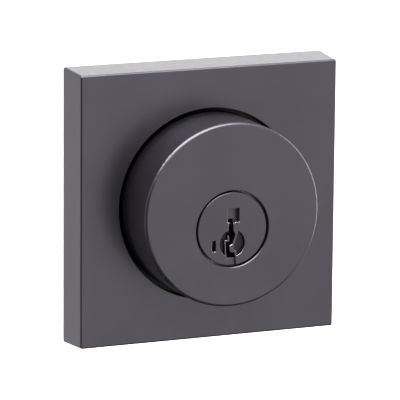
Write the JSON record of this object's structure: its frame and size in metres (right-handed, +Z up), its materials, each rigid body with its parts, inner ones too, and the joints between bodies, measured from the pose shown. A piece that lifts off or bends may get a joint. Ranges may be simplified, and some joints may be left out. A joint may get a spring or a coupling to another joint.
{
  "type": "deadbolt door lock",
  "caption": "Keyed outside half of a square-rose deadbolt: round guard, cylinder with pins, racks and sidebar, and a torque blade.",
  "frame": {"origin": "where the plug's turning axis, which is the axis of the door's cross bore, meets the outside face of the door; the rose's flat back rim lies on that face", "axes": "+Y into the door, +X to the right as seen from outside, +Z up"},
  "size_m": [0.0678, 0.0754, 0.0678],
  "materials": {
    "charcoal_rose": "satin dark pewter-black finish over a die-cast zinc rose",
    "charcoal_guard": "the same satin finish over a turned guard, with a finely broken rim",
    "charcoal_plug": "the same satin finish on the plug's face, rubbed bright along the keyway's edges",
    "cast_zinc": "bare die-cast zinc, slightly mottled",
    "hardened_steel": "dark hardened steel",
    "brass": "drawn brass, lightly dulled",
    "spring_steel": "bright spring wire and clip",
    "zinc_plated_steel": "bright zinc-plated pressed steel"
  },
  "bodies": {
    "lock_body": {"exterior_rose": "charcoal_rose", "cylinder_guard": "charcoal_guard", "cylinder_housing": "cast_zinc", "back_plate": "zinc_plated_steel", "back_plate_screws": "zinc_plated_steel", "drill_guard_balls": "hardened_steel"},
    "plug": {"key_plug": "charcoal_plug", "drill_guards": "hardened_steel", "plug_spring_cover": "brass", "plug_retaining_clip": "spring_steel", "sidebar_springs": "spring_steel"},
    "blade": {"torque_blade": "zinc_plated_steel"},
    "sidebar_body": {"sidebar": "brass"},
    "pin_body_1": {"pin_1": "brass", "rack_1": "brass", "pin_spring_1": "spring_steel"},
    "pin_body_2": {"pin_2": "brass", "rack_2": "brass", "pin_spring_2": "spring_steel"},
    "pin_body_3": {"pin_3": "brass", "rack_3": "brass", "pin_spring_3": "spring_steel"},
    "pin_body_4": {"pin_4": "brass", "rack_4": "brass", "pin_spring_4": "spring_steel"},
    "pin_body_5": {"pin_5": "brass", "rack_5": "brass", "pin_spring_5": "spring_steel"}
  },
  "joints": [
    {"name": "plug_turn", "type": "hinge", "parent": "lock_body", "child": "plug", "pos_m": [0, -0.01, 0], "axis": [0, 1, 0], "range_deg": [0, 90]},
    {"name": "blade_swing", "type": "hinge", "parent": "plug", "child": "blade", "pos_m": [0, 0.004, 0], "axis": [0, 1, 0], "range_deg": [-45, 45]},
    {"name": "sidebar_slide", "type": "slide", "parent": "plug", "child": "sidebar_body", "axis": [1, 0, 0], "range_m": [0, 0.00075], "stiffness_N_per_m": 60, "springref_m": -0.0005},
    {"name": "pin_slide_1", "type": "slide", "parent": "plug", "child": "pin_body_1", "axis": [0, 0, 1], "range_m": [0, 0.0023], "stiffness_N_per_m": 60, "springref_m": -0.0005, "deforming": ["pin_spring_1"]},
    {"name": "pin_slide_2", "type": "slide", "parent": "plug", "child": "pin_body_2", "axis": [0, 0, 1], "range_m": [0, 0.0023], "stiffness_N_per_m": 60, "springref_m": -0.0005, "deforming": ["pin_spring_2"]},
    {"name": "pin_slide_3", "type": "slide", "parent": "plug", "child": "pin_body_3", "axis": [0, 0, 1], "range_m": [0, 0.0023], "stiffness_N_per_m": 60, "springref_m": -0.0005, "deforming": ["pin_spring_3"]},
    {"name": "pin_slide_4", "type": "slide", "parent": "plug", "child": "pin_body_4", "axis": [0, 0, 1], "range_m": [0, 0.0023], "stiffness_N_per_m": 60, "springref_m": -0.0005, "deforming": ["pin_spring_4"]},
    {"name": "pin_slide_5", "type": "slide", "parent": "plug", "child": "pin_body_5", "axis": [0, 0, 1], "range_m": [0, 0.0023], "stiffness_N_per_m": 60, "springref_m": -0.0005, "deforming": ["pin_spring_5"]}
  ]
}
